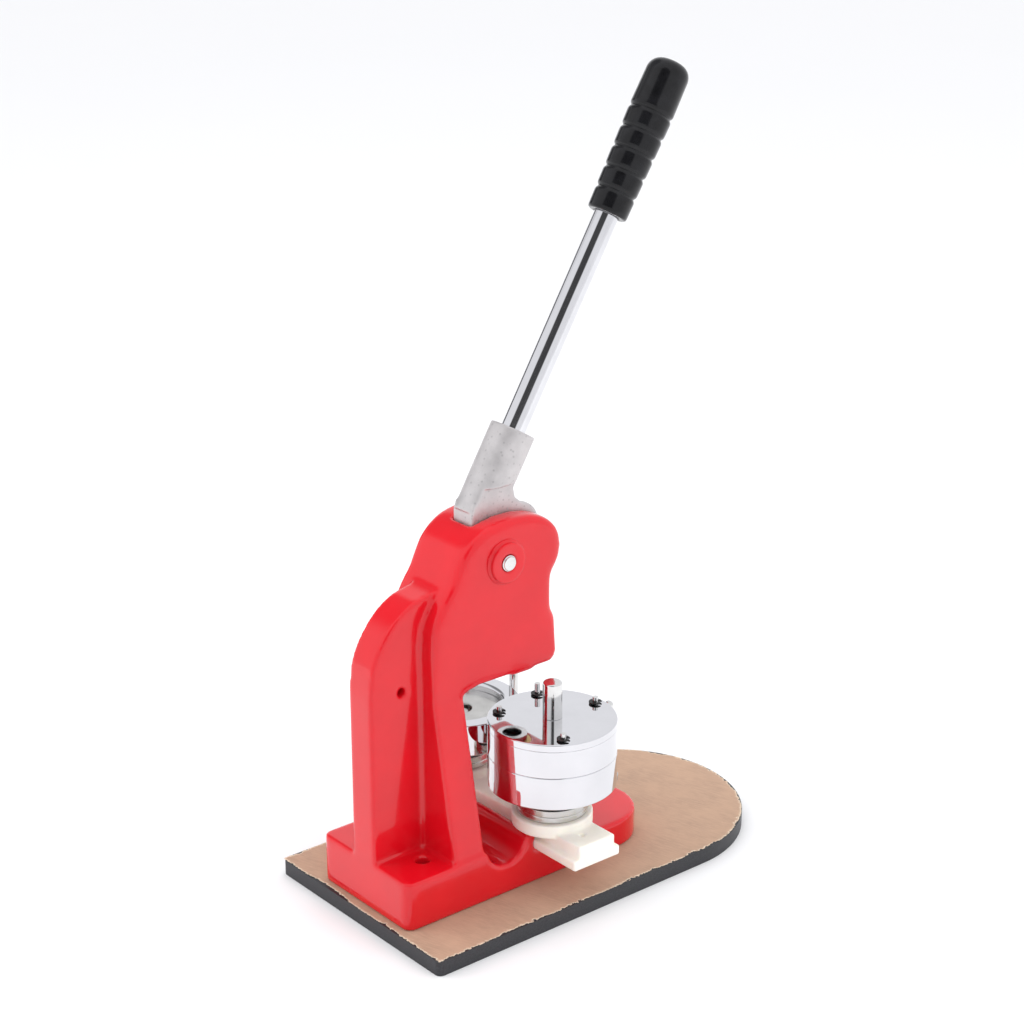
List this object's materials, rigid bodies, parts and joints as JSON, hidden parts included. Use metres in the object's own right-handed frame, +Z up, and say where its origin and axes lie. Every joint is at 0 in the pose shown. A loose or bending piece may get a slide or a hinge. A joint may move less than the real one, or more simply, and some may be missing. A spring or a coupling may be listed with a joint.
{
  "type": "badge making press",
  "caption": "Bench badge press: C-frame casting on a board, bell-crank lever, vertical ram and a sliding bar with two round lower dies and a loose upper die.",
  "frame": {"origin": "centre of the mounting board's underside", "axes": "+Z up, +Y towards the board's rounded front end, +X to the machine's right along the slide bar"},
  "size_m": [0.1764, 0.2904, 0.493],
  "materials": {
    "board": "black laminate, matte",
    "kraft_paper": "brown kraft",
    "red_enamel": "gloss",
    "zinc_steel": "satin",
    "bright_steel": "bright",
    "bronze": "satin",
    "cast_alloy": "as cast",
    "chrome_rod": "polished",
    "black_steel": "black oxide",
    "black_vinyl": "gloss",
    "nylon": "natural",
    "satin_steel": "satin",
    "mirror_chrome": "mirror",
    "spring_steel": "bright"
  },
  "bodies": {
    "frame": {"baseboard": "board", "protective_paper": "kraft_paper", "base_casting": "red_enamel", "column_web": "red_enamel", "column_gusset": "red_enamel", "head_casting": "red_enamel", "base_bolts": "zinc_steel", "base_washers": "zinc_steel", "base_nuts": "zinc_steel", "pivot_pin": "bright_steel", "ram_bush": "bronze"},
    "lever": {"lever_casting": "cast_alloy", "lever_rod": "chrome_rod", "rod_set_screw": "black_steel", "hand_grip": "black_vinyl", "pivot_bushes": "bronze", "hub_washers": "nylon", "crank_pin": "bright_steel"},
    "roller": {"crank_roller": "bright_steel"},
    "ram": {"ram": "bright_steel", "ram_snap_ring": "bright_steel"},
    "slide": {"slide_bar": "nylon", "die_fixing_screws": "zinc_steel", "front_die_base": "satin_steel", "front_die_core": "satin_steel", "front_core_screw": "zinc_steel", "rear_die_base": "satin_steel", "rear_die_core": "satin_steel", "rear_core_screw": "zinc_steel", "post_brackets": "satin_steel", "side_posts": "bright_steel", "front_ring_spring": "spring_steel", "rear_ring_spring": "spring_steel"},
    "front_ring": {"front_die_ring": "mirror_chrome"},
    "rear_ring": {"rear_die_ring": "mirror_chrome"},
    "upper_die": {"upper_ring": "mirror_chrome", "upper_guide_pins": "bright_steel", "pin_clips": "black_steel", "locating_pin": "bright_steel", "upper_plate": "mirror_chrome", "upper_core": "satin_steel", "upper_post": "bright_steel"}
  },
  "joints": [
    {"name": "lever_swing", "type": "hinge", "parent": "frame", "child": "lever", "pos_m": [0, -0.049, 0.216], "axis": [-1, 0, 0], "range_deg": [0, 57.4]},
    {"name": "roller_spin", "type": "hinge", "parent": "lever", "child": "roller", "pos_m": [0, -0.02707, 0.22801], "axis": [1, 0, 0], "continuous": true},
    {"name": "ram_slide", "type": "slide", "parent": "frame", "child": "ram", "axis": [0, 0, -1], "range_m": [0, 0.0243]},
    {"name": "bar_slide", "type": "slide", "parent": "frame", "child": "slide", "axis": [1, 0, 0], "range_m": [-0.0381, 0.0537]},
    {"name": "front_ring_press", "type": "slide", "parent": "slide", "child": "front_ring", "axis": [0, 0, 1], "range_m": [-0.006, 0], "stiffness_N_per_m": 4000, "springref_m": 0.008, "deforming": ["front_ring_spring"]},
    {"name": "rear_ring_press", "type": "slide", "parent": "slide", "child": "rear_ring", "axis": [0, 0, 1], "range_m": [-0.006, 0], "stiffness_N_per_m": 4000, "springref_m": 0.004, "deforming": ["rear_ring_spring"]},
    {"name": "upper_die_lift", "type": "slide", "parent": "front_ring", "child": "upper_die", "axis": [0, 0, 1], "range_m": [0, 0.012]}
  ],
  "couplings": [
    {"joint": "ram_slide", "follows": "lever_swing", "m_per_rad": 0.023968}
  ]
}
